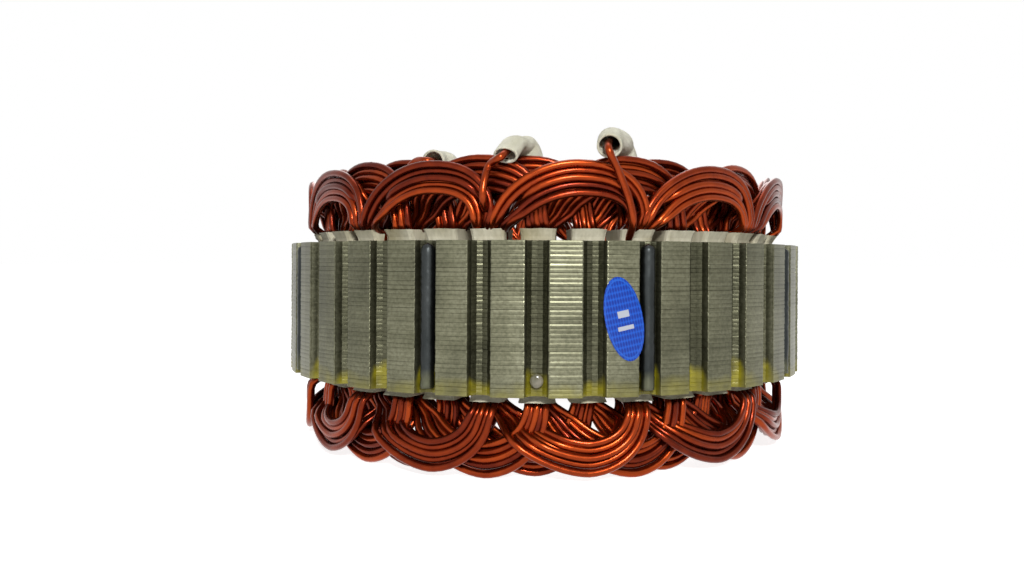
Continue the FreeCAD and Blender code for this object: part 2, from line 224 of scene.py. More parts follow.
def steel_material():
    """Punched sheet edges, darker in the notches from varnish and painted shade, with yellow resin along the
    lower edge.
    """
    material, _, add, feed = new_material("punched_steel")
    height, radius = over_core(add)
    land = remap(add, radius, 0.0, 1.0, (RIM - 1.4) * MM, (RIM - 0.3) * MM)
    grain = noise(add, object_point(add), 1500, 2)
    blotch = noise(add, object_point(add, (1, 1, 0.6)), 75, 4)
    sheet = noise(add, object_point(add, (0.02, 0.02, 1)), 1030, 0)
    base = ramp(add, blotch, [(0.3, (0.105, 0.104, 0.066)), (0.5, (0.155, 0.153, 0.098)),
                              (0.7, (0.20, 0.197, 0.132))])
    base = multiply(add, base, ramp(add, sheet, [(0.35, (0.84, 0.84, 0.82)), (0.6, (1, 1, 1))]))
    base = multiply(add, base, ramp(add, grain, [(0.38, (0.74, 0.74, 0.72)), (0.6, (1, 1, 1))]))
    # Painted shade: the notches are darkened, partly for their varnish and partly for the shade that falls
    # in them.
    base = multiply(add, base, ramp(add, land, [(0.0, (0.50, 0.50, 0.46)), (1.0, (1, 1, 1))]))
    cover = resin_cover(add, height, land)
    resin = ramp(add, noise(add, object_point(add), 260, 2),
                 [(0.3, (0.095, 0.082, 0.002)), (0.7, (0.26, 0.225, 0.006))])
    feed("Base Color", blend(add, cover, base, resin))
    feed("Metallic", remap(add, cover, 0.8, 0.1))
    feed("Roughness", remap(add, grain, 0.27, 0.44))
    bump(add, feed, grain, 0.25, 0.00005)
    return material


def teeth_material():
    """Punched steel inside the bore, with the sheets' joints as lines."""
    material, shader, add, feed = new_material("tooth_steel")
    height, _ = over_core(add)
    count = reckon(add, "MULTIPLY", height, SHEETS / (2 * HALF * MM))
    joint = ramp(add, reckon(add, "FRACT", count),
                 [(0.0, (0.2, 0.2, 0.2)), (0.12, (1, 1, 1)), (0.9, (1, 1, 1))])
    grain = noise(add, object_point(add, (1, 1, 10)), 380)
    base = ramp(add, grain, [(0.3, (0.13, 0.13, 0.10)), (0.7, (0.30, 0.30, 0.24))])
    feed("Base Color", multiply(add, base, joint))
    shader.inputs["Metallic"].default_value = 0.5
    shader.inputs["Roughness"].default_value = 0.4
    bump(add, feed, joint, 0.5, 0.0001)
    return material


def enamel_material():
    """Copper wire under amber enamel, its tone a little different from wire to wire."""
    material, shader, add, feed = new_material("enamelled_wire")
    tone = add("ShaderNodeAttribute", attribute_name="tone").outputs["Fac"]
    flecks = noise(add, object_point(add), 300)
    mean = reckon(add, "MULTIPLY", reckon(add, "ADD", tone, flecks), 0.5)
    feed("Base Color", ramp(add, mean, [(0.25, (0.094, 0.009, 0.0018)), (0.5, (0.174, 0.020, 0.0026)),
                                        (0.78, (0.285, 0.039, 0.0045))]))
    feed("Roughness", remap(add, flecks, 0.2, 0.38))
    shader.inputs["Metallic"].default_value = 0.92
    shader.inputs["Coat Weight"].default_value = 0.06
    shader.inputs["Coat Roughness"].default_value = 0.1
    bump(add, feed, flecks, 0.12, 0.0002)
    return material


def weld_material():
    """Smooth dark weld metal, with a film of resin over its lower end."""
    material, shader, add, feed = new_material("weld_steel")
    height, _ = over_core(add)
    mottling = noise(add, object_point(add, (1, 1, 0.3)), 240, 4)
    base = ramp(add, mottling, [(0.3, (0.016, 0.019, 0.019)), (0.7, (0.040, 0.044, 0.044))])
    film = remap(add, height, 0.4, 0.0, (-HALF + 3.2) * MM, (-HALF + 5.5) * MM)
    resin = ramp(add, mottling, [(0.3, (0.10, 0.10, 0.045)), (0.7, (0.22, 0.22, 0.13))])
    feed("Base Color", blend(add, film, base, resin))
    feed("Roughness", remap(add, mottling, 0.28, 0.48))
    shader.inputs["Metallic"].default_value = 0.9
    bump(add, feed, mottling, 0.4, 0.0003)
    return material


def paper_material():
    """Cream insulation paper with faint fibres and varnish stains."""
    material, shader, add, feed = new_material("slot_paper")
    fibre = noise(add, object_point(add, (1, 1, 0.25)), 900)
    stain = noise(add, object_point(add), 85)
    base = ramp(add, fibre, [(0.3, (0.52, 0.485, 0.35)), (0.7, (0.68, 0.64, 0.49))])
    tint = ramp(add, stain, [(0.3, (0.66, 0.62, 0.5)), (0.55, (1, 1, 1))])
    feed("Base Color", multiply(add, base, tint))
    shader.inputs["Roughness"].default_value = 0.62
    bump(add, feed, fibre, 0.25, 0.0001)
    return material


def sleeve_material():
    """Braided glass sleeving: crossing yarns seen as fine ridges."""
    material, shader, add, feed = new_material("glass_braid")
    uv = add("ShaderNodeUVMap").outputs[0]
    ridges = []
    for turn in (45, -45):
        slant = add("ShaderNodeMapping", {"Vector": uv, "Rotation": (0, 0, math.radians(turn))})
        ridges.append(add("ShaderNodeTexWave", {"Vector": slant.outputs[0], "Scale": 6.0,
                                                "Distortion": 0.6, "Detail": 1.0}).outputs["Fac"])
    braid = reckon(add, "MAXIMUM", *ridges)
    dirt = noise(add, object_point(add), 170)
    base = ramp(add, dirt, [(0.3, (0.62, 0.60, 0.45)), (0.6, (0.84, 0.82, 0.66))])
    shade = ramp(add, braid, [(0.2, (0.78, 0.77, 0.72)), (0.8, (1, 1, 1))])
    feed("Base Color", multiply(add, base, shade))
    shader.inputs["Roughness"].default_value = 0.7
    shader.inputs["Sheen Weight"].default_value = 0.2
    bump(add, feed, braid, 0.5, 0.0002)
    return material


def wedge_material():
    """Pale fibre strip."""
    material, shader, add, feed = new_material("wedge_fibre")
    fibre = noise(add, object_point(add, (1, 1, 0.1)), 700)
    feed("Base Color", ramp(add, fibre, [(0.3, (0.42, 0.37, 0.25)), (0.7, (0.58, 0.53, 0.40))]))
    shader.inputs["Roughness"].default_value = 0.6
    bump(add, feed, fibre, 0.3, 0.0001)
    return material


def label_material():
    """Glossy blue film: a fine lattice of dots, a lighter ring near the edge and two pale bars.

    Its UVs run from -1 to 1 across and along the oval.
    """
    material, shader, add, feed = new_material("blue_film")
    uv = add("ShaderNodeUVMap").outputs[0]
    part = add("ShaderNodeSeparateXYZ", {"Vector": uv})
    across, along = part.outputs["X"], part.outputs["Y"]
    lattice = add("ShaderNodeTexVoronoi", {"Vector": uv, "Scale": 7.0, "Randomness": 0.0},
                  distance="EUCLIDEAN").outputs["Distance"]
    blue = ramp(add, lattice, [(0.30, (0.003, 0.030, 0.27)), (0.55, (0.008, 0.085, 0.50))])
    squares = [reckon(add, "MULTIPLY", axis, axis) for axis in (across, along)]
    ring = ramp(add, reckon(add, "ADD", *squares),
                [(0.80, (0, 0, 0)), (0.84, (1, 1, 1)), (0.93, (0, 0, 0))])
    colour = blend(add, ring, blue, (0.015, 0.10, 0.50, 1))
    aside = reckon(add, "ABSOLUTE", across)
    for low, high, half in ((-0.26, -0.16, 0.42), (0.04, 0.20, 0.30)):
        above = reckon(add, "GREATER_THAN", along, low)
        below = reckon(add, "LESS_THAN", along, high)
        band = reckon(add, "MULTIPLY", above, below)
        bar = reckon(add, "MULTIPLY", band, reckon(add, "LESS_THAN", aside, half))
        colour = blend(add, bar, colour, (0.40, 0.42, 0.48, 1))
    feed("Base Color", colour)
    shader.inputs["Roughness"].default_value = 0.25
    shader.inputs["Specular IOR Level"].default_value = 0.25
    return material


def clear_resin_material():
    """Cloudy drop of resin."""
    material, shader, add, feed = new_material("clear_resin")
    cloud = noise(add, object_point(add), 500, 2)
    feed("Base Color", ramp(add, cloud, [(0.3, (0.10, 0.095, 0.055)), (0.7, (0.20, 0.18, 0.13))]))
    shader.inputs["Roughness"].default_value = 0.12
    return material


STEEL = steel_material()
TOOTH_STEEL = teeth_material()
ENAMEL = enamel_material()
WELD = weld_material()
PAPER = paper_material()
BRAID = sleeve_material()
FIBRE = wedge_material()
FILM = label_material()


# ---------------------------------------------------------------- lamination stack

NOTCH_ANGLES = (86, 60, 30, 0, -30, -60, -86)
LAND_CORNER = ((0.12, 0.02), (0.03, 0.12), (0.0, 0.3))      # drop from the rim, distance along it


def slot_half(radius, inset=0.0):
    """Half width of a slot at a radius, between teeth with parallel sides."""
    half = math.radians(PITCH / 2)
    return radius * math.tan(half) - (TOOTH / 2 + inset) / math.cos(half)


def rim_outline():
    """Outer edge of a sheet, with notches and rounded lands, as (radius, bearing)."""
    notch_angle = math.degrees(math.asin(NOTCH_HALF / RIM))
    corner = [(RIM - drop, notch_angle + math.degrees(along / RIM)) for drop, along in LAND_CORNER]
    points = []
    for n in range(SLOTS):
        centre = n * PITCH
        for angle in NOTCH_ANGLES:
            depth = NOTCH_DEPTH * math.cos(math.radians(angle)) ** 0.8
            across = math.degrees(math.asin(NOTCH_HALF * math.sin(math.radians(angle)) / RIM))
            points.append((RIM - depth, centre - across))
        points += [(r, centre + a) for r, a in corner]
        points.append((RIM, centre + PITCH / 2))
        points += [(r, centre + PITCH - a) for r, a in reversed(corner)]
    return points


def bore_outline():
    """Inner edge of a sheet, with tooth tips and slots, as (radius, bearing)."""
    corner = SLOT_FLOOR - SLOT_CORNER
    side = [(BORE, MOUTH_HALF), (BORE + TIP, MOUTH_HALF), (SLOT_SHOULDER, slot_half(SLOT_SHOULDER)),
            (corner, slot_half(corner)), (SLOT_FLOOR, slot_half(SLOT_FLOOR) - SLOT_CORNER)]
    walls = [(math.hypot(r, w), math.degrees(math.atan2(w, r))) for r, w in side]
    mouth = walls[0][1]
    points = []
    for n in range(SLOTS):
        centre = n * PITCH
        points += [(r, centre - a) for r, a in walls]
        points += [(r, centre + a) for r, a in reversed(walls)]
        points += [(BORE, centre + mouth + share * (PITCH - 2 * mouth)) for share in (0.33, 0.67)]
    return points


def stacked_wall(outline, levels, outward):
    """Wall through the outline at each (height, inset, turn) level; outward is 1 or -1."""
    verts, faces = [], []
    count = len(outline)
    for z, inset, turn in levels:
        for r, bearing in outline:
            verts.append(spot(r - outward * inset, bearing + turn, z))
    for level in range(len(levels) - 1):
        for i in range(count):
            j = (i + 1) % count
            a, b = level * count, (level + 1) * count
            faces.append((a + i, a + j, b + j, b + i)[::outward])
    return verts, faces


def end_face(name, inner, outer, z, up):
    """Flat ring between two outlines."""
    bm = bmesh.new()
    edges = []
    for outline in (inner, outer):
        ring = [bm.verts.new(spot(r, b, z)) for r, b in outline]
        edges += [bm.edges.new((ring[i - 1], ring[i])) for i in range(len(ring))]
    bmesh.ops.triangle_fill(bm, edges=edges, use_beauty=True)
    for face in bm.faces:
        if (face.normal.z > 0) != up:
            face.normal_flip()
    mesh = bpy.data.meshes.new(name)
    bm.to_mesh(mesh)
    bm.free()
    return link_object(name, mesh)


def sheet_levels():
    """Levels of the rim's wall: each sheet is shifted a little, and its upper edge is rolled in."""
    luck = random.Random(11)
    thick = 2 * HALF / SHEETS
    lower_edge, middle, upper_edge = 0.09, 0.55, thick - 0.07
    levels = []
    for n in range(SHEETS):
        low = -HALF + n * thick
        shift, turn = luck.uniform(0, 0.06), luck.uniform(-0.035, 0.035)
        joint = 0.08 if luck.random() < 0.3 else 0.035
        rolled = shift + luck.uniform(0.03, 0.075)
        levels += [(low, shift + joint, turn), (low + lower_edge, shift, turn), (low + middle, shift, turn),
                   (low + upper_edge, rolled, turn), (low + thick, rolled + joint, turn)]
    return levels


def build_core():
    """Rim with every sheet's edge, teeth and the two end faces."""
    rim, bore = rim_outline(), bore_outline()
    edge = 0.05
    levels = [(-HALF, edge, 0)] + sheet_levels()[1:-1] + [(HALF, edge, 0)]
    finish_piece(mesh_object("core_rim", *stacked_wall(rim, levels, 1), smooth=False), STEEL,
                 "laminations", "lamination_stack")
    levels = [(-HALF, 0, 0), (HALF, 0, 0)]
    finish_piece(mesh_object("core_teeth", *stacked_wall(bore, levels, -1), smooth=False), TOOTH_STEEL,
                 "laminations", "lamination_stack")
    ring = [(r - edge, b) for r, b in rim]
    for name, z, up in (("core_upper_face", HALF, True), ("core_lower_face", -HALF, False)):
        finish_piece(end_face(name, bore, ring, z, up), TOOTH_STEEL, "laminations", "lamination_stack")


# ---------------------------------------------------------------- tubes

def tube(verts, faces, path, radius, sides, caps=True):
    """Adds a round tube to lists of vertices and faces; the radius may be a list, one for each point."""
    first = len(verts)
    normal = None
    for i, point in enumerate(path):
        ahead = path[min(i + 1, len(path) - 1)] - path[max(i - 1, 0)]
        ahead.normalize()
        if normal is None:
            normal = ahead.orthogonal().normalized()
        normal = (normal - ahead * normal.dot(ahead)).normalized()
        side = ahead.cross(normal)
        size = radius[i] if isinstance(radius, list) else radius
        for k in range(sides):
            a = 2 * math.pi * k / sides
            verts.append(point + (normal * math.cos(a) + side * math.sin(a)) * size)
    for i in range(len(path) - 1):
        for k in range(sides):
            a, b = first + i * sides + k, first + i * sides + (k + 1) % sides
            faces.append((a, b, b + sides, a + sides))
    if caps:
        faces.append(tuple(first + k for k in reversed(range(sides))))
        last = first + (len(path) - 1) * sides
        faces.append(tuple(last + k for k in range(sides)))


def smooth_path(points, steps):
    """Catmull-Rom curve through a row of points."""
    path = []
    for i in range(len(points) - 1):
        p0, p1 = points[max(i - 1, 0)], points[i]
        p2, p3 = points[i + 1], points[min(i + 2, len(points) - 1)]
        for s in range(steps):
            t = s / steps
            path.append(0.5 * ((2 * p1) + (p2 - p0) * t + (2 * p0 - 5 * p1 + 4 * p2 - p3) * t * t
                               + (3 * p1 - p0 - 3 * p2 + p3) * t * t * t))
    path.append(points[-1].copy())
    return path


def tone_attribute(obj, tones, per_tube):
    """Writes each tube's tone to its vertices."""
    layer = obj.data.attributes.new("tone", "FLOAT", "POINT")
    values = []
    for tone, count in zip(tones, per_tube):
        values += [tone] * count
    layer.data.foreach_set("value", values)


# ---------------------------------------------------------------- windings

ARC = 64                            # radius at which distances along the windings are measured
ARCHES = SLOTS // 3
SLOT_EXITS = (62.2, 61.8, 60.6)     # radius where each layer's front wires leave the slots
FOOT_HEIGHTS = (-1.5, 0.4, 2.2)     # heights over the core at which a wire still runs straight
ARCH_BASE = 2.4                     # height at which an arch starts

# At each end: range of the crown's lean, the right leg's bulge and how much of it each rank loses, and
# the powers that shape the left leg, the right leg and the crown.
UPPER = {"lean": (2.2, 4.0), "bulge": 0.3, "taper": 0.0, "powers": (1.0, 0.88, 0.95)}
LOWER = {"lean": (4.2, 6.0), "bulge": 0.8, "taper": 0.2, "powers": (1.12, 1.2, 1.04)}


def feet(layer, end, rank, row):
    """Where a wire leaves its slots: millimetres inside each slot's middle, and depth behind the front wire.

    The outer arches of the upper end keep to their own halves of the slots. Elsewhere the right leg spreads
    over the slot's whole width, and the next arch's left leg comes out behind it.
    """
    if layer == 0 and end is UPPER:
        spread, depth = 0.45 + 0.62 * rank, 1.5 * (rank % 3) + 4.4 * row
        return (spread, depth), (spread, depth)
    right = (-1.6 + 1.0 * rank, 1.15 * (rank % 2) + 5.8 * row)
    left = (-1.0 + 0.85 * rank, 2.7 + 1.15 * (rank % 2) + 2.9 * row)
    return left, right


def arch_wire(layer, end, rank, row, shape, luck):
    """Path of one wire of an arch as (distance along, height over the core, radius), from slot to slot.

    Rank 0 is the outermost wire, and row 1 nests in the grooves behind row 0. The shape says, in
    millimetres, how far the crown leans, how far apart the wires lie there and how far the legs shift.
    """
    lean, pitch, shift = shape
    left_power, right_power, crown_power = end["powers"]
    nested = math.sqrt(max(0.0, (2 * WIRE) ** 2 - pitch ** 2)) if rank % 2 else 0
    front = WINDING - layer * LAYER - WIRE - 0.05 - 1.4 * row - nested
    depth = rank + 0.5 * row
    height = CREST[layer] - WIRE - pitch * depth - luck.uniform(0.0, 0.3)
    half = math.radians(PITCH * 1.5) * ARC
    (left_in, left_back), (right_in, right_back) = feet(layer, end, rank, row)
    left = -half + left_in + 0.3 * shift + luck.uniform(-0.1, 0.1)
    right = half - right_in + 0.3 * shift + luck.uniform(-0.1, 0.1)
    bulge = end["bulge"] * (1 - end["taper"] * rank)
    legs = ((left, -half + shift + 1.35 * depth, left_back, left_power),
            (right, half + shift + bulge - depth, right_back, right_power))
    lean += luck.uniform(-0.5, 0.5)
    sway = luck.uniform(-0.25, 0.25)
    slot_exit = SLOT_EXITS[layer]
    points = [(left, z, slot_exit - left_back) for z in FOOT_HEIGHTS]
    steps = 26
    for i in range(steps + 1):
        t = math.pi * i / steps
        cos_t, sin_t = math.cos(t), max(0.0, math.sin(t))
        foot, reach, back, power = legs[0] if cos_t > 0 else legs[1]
        z = ARCH_BASE + (height - ARCH_BASE) * sin_t ** crown_power
        inward = reach * abs(cos_t) ** power - reach
        along = foot + inward + (reach - foot) * ease((z - 1.6) / 5.0) + lean * sin_t ** 1.5
        out = ease((z - 0.8) / 4.0)
        settle = ease((z - 5.5) / 6.0) if back > 1.6 else out
        behind = slot_exit - back * (1 - 0.25 * out)
        points.append((along, z, behind + (front + sway * sin_t - behind) * settle))
    return points + [(right, z, slot_exit - right_back) for z in reversed(FOOT_HEIGHTS)]


def build_windings():
    """Coil ends of the three phases, one piece for each phase and end."""
    luck = random.Random(5)
    for layer, (name, bearing) in enumerate((("outer", 5), ("middle", 15), ("inner", 25))):
        for end, side, up in ((UPPER, "upper", 1), (LOWER, "lower", -1)):
            verts, faces, tones, counts = [], [], [], []
            for arch in range(ARCHES):
                centre = bearing + arch * 360 / ARCHES
                shape = (luck.uniform(*end["lean"]), luck.uniform(1.42, 1.66), luck.uniform(0.4, 1.6))
                for row, sides in ((0, 10), (1, 8)):
                    for rank in range(5 - row):
                        path = [spot(r, centre + math.degrees(x / ARC), up * (HALF + z))
                                for x, z, r in arch_wire(layer, end, rank, row, shape, luck)]
                        before = len(verts)
                        tube(verts, faces, path, WIRE * MM, sides)
                        tones.append(luck.random())
                        counts.append(len(verts) - before)
            obj = mesh_object(f"winding_{name}_{side}", verts, faces)
            tone_attribute(obj, tones, counts)
            finish_piece(obj, ENAMEL, "enamelled_copper", f"phase_winding_{name}")


# ---------------------------------------------------------------- slot liners

LINER_RISE = {1: 2.7, -1: 2.0}      # how far the cuffs stand out at the upper and lower end
LINER_WALL = 0.3
LINER_ROOT = 1.5                    # how far a cuff is drawn into its slot


def cuff_section():
    """Section of a cuff as (radius, distance from the slot's middle), open to the bore."""
    play = 0.05
    side = [(r, slot_half(r, play)) for r in (SLOT_SHOULDER + 0.1, 57, SLOT_FLOOR - 1.2)]
    side += [(SLOT_FLOOR - drop, slot_half(SLOT_FLOOR - drop, play) - inset)
             for drop, inset in ((0.5, 0.25), (0.1, 0.9))]
    floor = [(SLOT_FLOOR - play, w) for w in (1.2, 0, -1.2)]
    return side + floor + [(r, -w) for r, w in reversed(side)]


def cuff_row(section, heights, share, flare, lean, bearing, end):
    """Outer points, then inner points, of a cuff at one share of its height."""
    outer_row, inner_row = [], []
    for (r, w), height in zip(section, heights):
        z = share * height if share > 0 else share * LINER_ROOT
        grow = flare * max(0.0, share) ** 2
        out = lean * max(0.0, share) ** 1.5 * ease((r - SLOT_SHOULDER) / 8)
        sign = 0 if w == 0 else math.copysign(1, w)
        wall = LINER_WALL if r > SLOT_FLOOR - SLOT_CORNER else 0.05
        outer = (r + out, w + sign * grow)
        inner = (r + out - wall, w + sign * (grow - LINER_WALL))
        for (x, y), row in ((outer, outer_row), (inner, inner_row)):
            row.append(spot(math.hypot(x, y), bearing + math.degrees(math.atan2(y, x)), end * (HALF + z)))
    return outer_row + inner_row


def cuff_faces(start, count, levels, end):
    """Faces of a cuff whose rows of 2 * count points begin at start; end turns them round."""
    faces = []
    for level in range(levels - 1):
        a, b = start + level * 2 * count, start + (level + 1) * 2 * count
        for i in range(count - 1):
            outside = (a + i, a + i + 1, b + i + 1, b + i)
            inside = (a + count + i + 1, a + count + i, b + count + i, b + count + i + 1)
            faces += [outside[::end], inside[::end]]
        for i, turn in ((0, end), (count - 1, -end)):
            faces.append((a + i, b + i, b + count + i, a + count + i)[::turn])
    top = start + (levels - 1) * 2 * count
    for i in range(count - 1):
        faces.append((top + i, top + i + 1, top + count + i + 1, top + count + i)[::end])
    return faces


def build_liners():
    """Paper cuffs at both ends of each slot, a few of them with a torn edge."""
    luck = random.Random(3)
    section = cuff_section()
    shares = (-1.0, 0.0, 0.35, 0.7, 1.0)
    for n in range(SLOTS):
        verts, faces = [], []
        for end, rise in LINER_RISE.items():
            heights = [rise - luck.uniform(0, 0.12) for _ in section]
            if luck.random() < 0.2:
                torn = luck.randrange(2, 9)
                heights[torn] -= luck.uniform(0.4, 1.1)
            flare, lean = luck.uniform(0.1, 0.4), luck.uniform(1.1, 1.5)
            faces += cuff_faces(len(verts), len(section), len(shares), end)
            for share in shares:
                verts += cuff_row(section, heights, share, flare, lean, n * PITCH, end)
        finish_piece(mesh_object(f"paper_{n + 1:02d}", verts, faces, smooth=False), PAPER,
                     "slot_paper", f"slot_liner_{n + 1:02d}")


# ---------------------------------------------------------------- weld beads

def build_beads():
    """Rippled weld beads, rounded at the upper end, each on a web that reaches its notch's floor."""
    luck = random.Random(9)
    radius, crown, web, steps = 1.5, 1.3, 0.7, 46
    low, high = -HALF + 1.2, HALF - 0.6
    front, floor = RIM - 0.9, RIM - NOTCH_DEPTH - 0.02
    for n in range(9):
        bearing = -20 + 40 * n
        path, size = [], []
        for i in range(steps + 1):
            z = low + (high - low) * i / steps
            into_crown = max(0.0, z - high + crown) / crown
            share = max(0.12, math.sqrt(max(0.0, 1 - into_crown ** 2)))
            path.append(spot(RIM + 0.12 - radius, bearing + luck.uniform(-0.04, 0.04), z))
            size.append((radius + luck.uniform(-0.07, 0.07)) * share * MM)
        verts, faces = [], []
        tube(verts, faces, path, size, sides=16)
        a = len(verts)
        for z in (low, high - 1.0):
            for r, w in ((front, web), (front, -web), (floor, -web), (floor, web)):
                verts.append(spot(r, bearing + math.degrees(w / r), z))
        for i in range(4):
            j = (i + 1) % 4
            faces.append((a + i, a + 4 + i, a + 4 + j, a + j))
        faces.append((a + 4, a + 7, a + 6, a + 5))
        finish_piece(mesh_object(f"bead_{n + 1}", verts, faces), WELD, "weld_metal",
                     f"weld_bead_{n + 1}")


# ---------------------------------------------------------------- leads and sleeves

LEAD_WIRE = 0.85        # radius
SLEEVE_ROOM = 2.8       # radius that a sleeve takes up
SLEEVE_OUTER = 2.75     # radius that is drawn
SLEEVE_WALL = 0.5
YARNS = 16              # units of U round a sleeve
FLATTENED = {2: 0.34}   # share of its height that a lead's sleeve loses at its mouth


def lead_routes():
    """Each lead's bare wire, then its sleeve, as (radius, bearing, height over the core).

    Each lead rises from the winding, bends into its sleeve and dips inside the coil ends.
    """
    outer_crest, crest, _ = CREST
    gap = 0.2
    wire_face = WINDING + gap + LEAD_WIRE
    over = crest + 2 * gap + SLEEVE_ROOM
    inner_face = (WINDING - 3 * LAYER + 0.25) * math.cos(math.radians(PITCH / 2))
    tucked = inner_face - 2 * gap - SLEEVE_ROOM
    round_edge = 0.78 * (SLEEVE_ROOM + gap)
    rolling = inner_face - round_edge
    between = WINDING - 1.5 * LAYER
    return (
        ([(between, -30, 0.6 * crest), (between, -29.3, 0.82 * crest), (between, -27, crest - 1)],
         [(WINDING - 2 * LAYER, -23.6, crest - 1.1), (inner_face, -24, crest - 1),
          (rolling, -23, 0.93 * crest), (tucked, -22.2, 0.75 * crest), (tucked, -20.4, 0.42 * crest)]),
        ([(WINDING - LAYER, -10, 0.3 * crest), (wire_face, -10, 0.45 * crest),
          (wire_face - gap, -9.8, 0.66 * crest), (WINDING - LEAD_WIRE, -9.2, 0.85 * crest)],
         [(WINDING - 0.4 * LAYER, -6.2, outer_crest + 0.5 * SLEEVE_ROOM),
          (WINDING - 2 * LAYER, -5.2, over), (inner_face, -4.2, over),
          (rolling, -3.3, crest + round_edge), (tucked, -2, 0.97 * crest), (tucked, -0.6, 0.4 * crest)]),
        ([(SLOT_FLOOR - LEAD_WIRE, 18.2, 0), (wire_face - 0.6, 17.8, 0.2 * crest),
          (wire_face, 16.9, 0.45 * crest), (wire_face, 14.9, 0.76 * crest)],
         [(WINDING + 2 * gap, 13.2, outer_crest + 0.9 * SLEEVE_ROOM),
          (WINDING - 1.3 * LAYER, 14.7, over), (inner_face, 18.6, over + gap / 2),
          (rolling, 20, crest + round_edge), (tucked, 21.6, 0.97 * crest), (tucked, 24, 0.4 * crest)]),
    )


def hollow_tube(name, path, flattening):
    """Sleeve with a wall, pressed down by a share at each point, and UVs along and round it."""
    sides = 28
    verts, faces, back = [], [], []
    tube(verts, faces, path, SLEEVE_OUTER * MM, sides, caps=False)
    inner_start = len(verts)
    tube(verts, back, path, (SLEEVE_OUTER - SLEEVE_WALL) * MM, sides, caps=False)
    faces += [face[::-1] for face in back]
    for i, vert in enumerate(verts):
        ring = i % inner_start // sides
        vert.z -= (vert.z - path[ring].z + SLEEVE_OUTER * MM) * flattening[ring]
    last = (len(path) - 1) * sides
    for k in range(sides):
        j = (k + 1) % sides
        faces.append((k, inner_start + k, inner_start + j, j))
        faces.append((last + k, last + j, inner_start + last + j, inner_start + last + k))
    obj = mesh_object(name, verts, faces)
    layer = obj.data.uv_layers.new(name="UVMap")
    run = [0.0]
    for a, b in zip(path, path[1:]):
        run.append(run[-1] + (b - a).length / MM)
    for poly in obj.data.polygons:
        around = [obj.data.loops[i].vertex_index % sides for i in poly.loop_indices]
        wraps = max(around) - min(around) > sides / 2
        for i, k in zip(poly.loop_indices, around):
            vertex = obj.data.loops[i].vertex_index % inner_start
            u = (k + sides if wraps and k < sides / 2 else k) / sides * YARNS
            layer.data[i].uv = (u, run[vertex // sides])
    return obj


def build_leads():
    """Lead wires with their sleeves; each wire runs on inside its sleeve and just past its end."""
    past_end = 2.5 * MM
    for n, (wire_points, sleeve_points) in enumerate(lead_routes(), start=1):
        flat = FLATTENED.get(n, 0.0)
        sunk = Vector((0, 0, SLEEVE_OUTER * MM * flat))
        wire = [spot(r, b, HALF + z) for r, b, z in wire_points]
        sleeve = [spot(r, b, HALF + z) for r, b, z in sleeve_points]
        wire.append(sleeve[0] + (sleeve[0] - sleeve[1]).normalized() * past_end)
        wire += [point - sunk for point in sleeve[1:3]] + sleeve[3:-1]
        wire.append(sleeve[-1] + (sleeve[-1] - sleeve[-2]).normalized() * past_end)
        verts, faces = [], []
        tube(verts, faces, smooth_path(wire, 7), LEAD_WIRE * MM, 12)
        obj = mesh_object(f"lead_copper_{n}", verts, faces)
        tone_attribute(obj, [0.75], [len(verts)])
        finish_piece(obj, ENAMEL, "enamelled_copper", f"lead_wire_{n}")
        path = smooth_path(sleeve, 8)
        flattening = [flat * ease((0.6 - i / len(path)) / 0.25) for i in range(len(path))]
        finish_piece(hollow_tube(f"braid_{n}", path, flattening), BRAID, "sleeve_braid",
                     f"lead_sleeve_{n}")


# ---------------------------------------------------------------- label and resin drop

def ring_faces(rings, sides):
    """Faces between concentric rings of points."""
    faces = []
    for ring in range(rings):
        for k in range(sides):
            a, b = ring * sides + k, ring * sides + (k + 1) % sides
            faces.append((a, a + sides, b + sides, b))
    return faces


def build_label():
    """Thin oval film bent round the rim."""
    width, height, tilt, bearing = 8.4, 18.1, math.radians(12), 15.1
    film, edge = 0.16, 0.06
    verts, uvs = [], []
    rings, sides = 8, 64
    for ring in range(rings + 1):
        share = ring / rings
        for k in range(sides):
            a = 2 * math.pi * k / sides
            u, v = share * math.cos(a), share * math.sin(a)
            x, z = u * width / 2, v * height / 2
            across = x * math.cos(tilt) - z * math.sin(tilt)
            up = x * math.sin(tilt) + z * math.cos(tilt)
            lift = film if ring < rings else edge
            verts.append(spot(RIM + lift, bearing + math.degrees(across / RIM), up))
            uvs.append((u, v))
    obj = mesh_object("film", verts, ring_faces(rings, sides))
    layer = obj.data.uv_layers.new(name="UVMap")
    for loop in obj.data.loops:
        layer.data[loop.index].uv = uvs[loop.vertex_index]
    finish_piece(obj, FILM, "label_film", "oval_label")


def build_resin_drop():
    """Drop of clear resin low in the front notch."""
    radius, dome, floor, height = 1.5, 0.55, RIM - NOTCH_DEPTH + 0.9, -HALF + 3.3
    verts = []
    rings, sides = 8, 24
    for ring in range(rings + 1):
        a = math.pi / 2 * ring / rings
        for k in range(sides):
            t = 2 * math.pi * k / sides
            across, up = radius * math.sin(a) * math.cos(t), radius * math.sin(a) * math.sin(t)
            verts.append(spot(floor + dome * math.cos(a), math.degrees(across / RIM), height + up))
    finish_piece(mesh_object("resin_drop", verts, ring_faces(rings, sides)), clear_resin_material(),
                 "slot_wedge")


build_core()
build_windings()
build_liners()
build_beads()
build_leads()
build_label()
build_resin_drop()
frame["nodes"]["slot_wedges"].data.materials.clear()
frame["nodes"]["slot_wedges"].data.materials.append(FIBRE)


# ---------------------------------------------------------------- floor, light and camera

# Name, place and size in metres, and power in watts. Each lamp faces the part.
LAMPS = (("key", (0.07, -0.56, 0.26), 0.10, 3.3), ("fill", (-0.40, -0.5, 0.10), 0.4, 0.3),
         ("top", (0.0, 0.1, 0.7), 0.4, 1.0), ("back", (0.0, 0.7, 0.35), 0.5, 1.5))


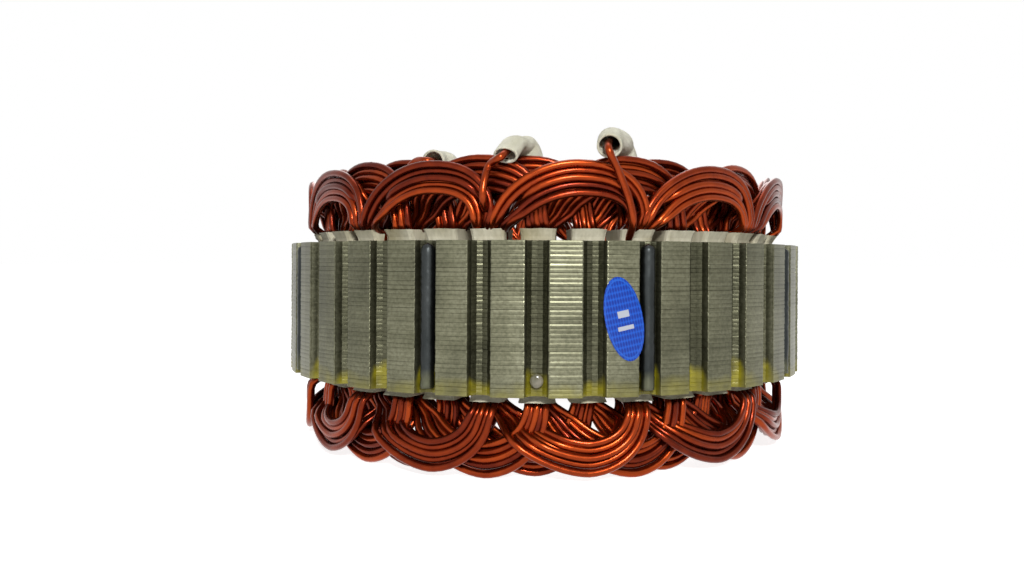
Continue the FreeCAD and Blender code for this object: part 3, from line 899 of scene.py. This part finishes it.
def build_floor():
    """Pale floor that glows for the camera, reflections and glass, less so near the part."""
    side, far, z = 6, 30, cad_low.z
    corners = [(-side, -side, z), (side, -side, z), (side, far, z), (-side, far, z)]
    floor = mesh_object("floor", corners, [(0, 1, 2, 3)], smooth=False)
    material, shader, add, feed = new_material("floor_paper")
    shader.inputs["Base Color"].default_value = (0.8, 0.8, 0.8, 1)
    shader.inputs["Roughness"].default_value = 1.0
    shader.inputs["Specular IOR Level"].default_value = 0.0
    shader.inputs["Emission Color"].default_value = (1, 1, 1, 1)
    rays = add("ShaderNodeLightPath").outputs
    seen = reckon(add, "MAXIMUM", rays["Is Camera Ray"], rays["Is Glossy Ray"])
    seen = reckon(add, "MAXIMUM", seen, rays["Is Transmission Ray"])
    where = add("ShaderNodeTexCoord").outputs["Object"]
    away = add("ShaderNodeVectorMath", {0: where}, operation="LENGTH").outputs["Value"]
    feed("Emission Strength", reckon(add, "MULTIPLY", seen, remap(add, away, 0.86, 1.0, 0.15, 1.2)))
    floor.data.materials.append(material)


def build_world():
    """Surroundings that are white to the camera, reflections and glass, and light the part weakly."""
    world = bpy.data.worlds.new("surroundings")
    bpy.context.scene.world = world
    world.use_nodes = True
    nodes, links = world.node_tree.nodes, world.node_tree.links
    rays = nodes.new("ShaderNodeLightPath")
    seen = rays.outputs["Is Camera Ray"]
    for kind in ("Is Glossy Ray", "Is Transmission Ray"):
        either = nodes.new("ShaderNodeMath")
        either.operation = "MAXIMUM"
        links.new(seen, either.inputs[0])
        links.new(rays.outputs[kind], either.inputs[1])
        seen = either.outputs[0]
    strength = nodes.new("ShaderNodeMapRange")
    links.new(seen, strength.inputs["Value"])
    strength.inputs["To Min"].default_value = 0.06
    strength.inputs["To Max"].default_value = 1.0
    back = nodes["Background"]
    links.new(strength.outputs[0], back.inputs["Strength"])
    back.inputs["Color"].default_value = (1, 1, 1, 1)


def build_lamps():
    """Soft square lamps."""
    for name, place, size, power in LAMPS:
        lamp = bpy.data.lights.new(name, "AREA")
        lamp.size = size
        lamp.energy = power
        obj = link_object(name, lamp)
        obj.location = place
        obj.rotation_mode = "QUATERNION"
        obj.rotation_quaternion = (-Vector(place)).to_track_quat("-Z", "Y")


def build_camera():
    """Level camera in front of the part, rolled a little, with the lens shifted to frame it."""
    distance, bearing, eye_height, roll = 3.53 * RIM, 1.36, 11.7, math.radians(0.3)
    camera = bpy.data.cameras.new("camera")
    obj = link_object("camera", camera)
    camera.sensor_width = 36
    camera.lens = 30.14648
    camera.shift_x = -0.0321
    camera.shift_y = -0.0239
    obj.location = spot(distance, bearing, eye_height)
    aim = Vector((-obj.location.x, -obj.location.y, 0))
    obj.rotation_mode = "QUATERNION"
    obj.rotation_quaternion = aim.to_track_quat("-Z", "Y") @ Quaternion((0, 0, 1), roll)
    bpy.context.scene.camera = obj


build_floor()
build_world()
build_lamps()
build_camera()
bpy.context.scene.view_settings.view_transform = "Standard"
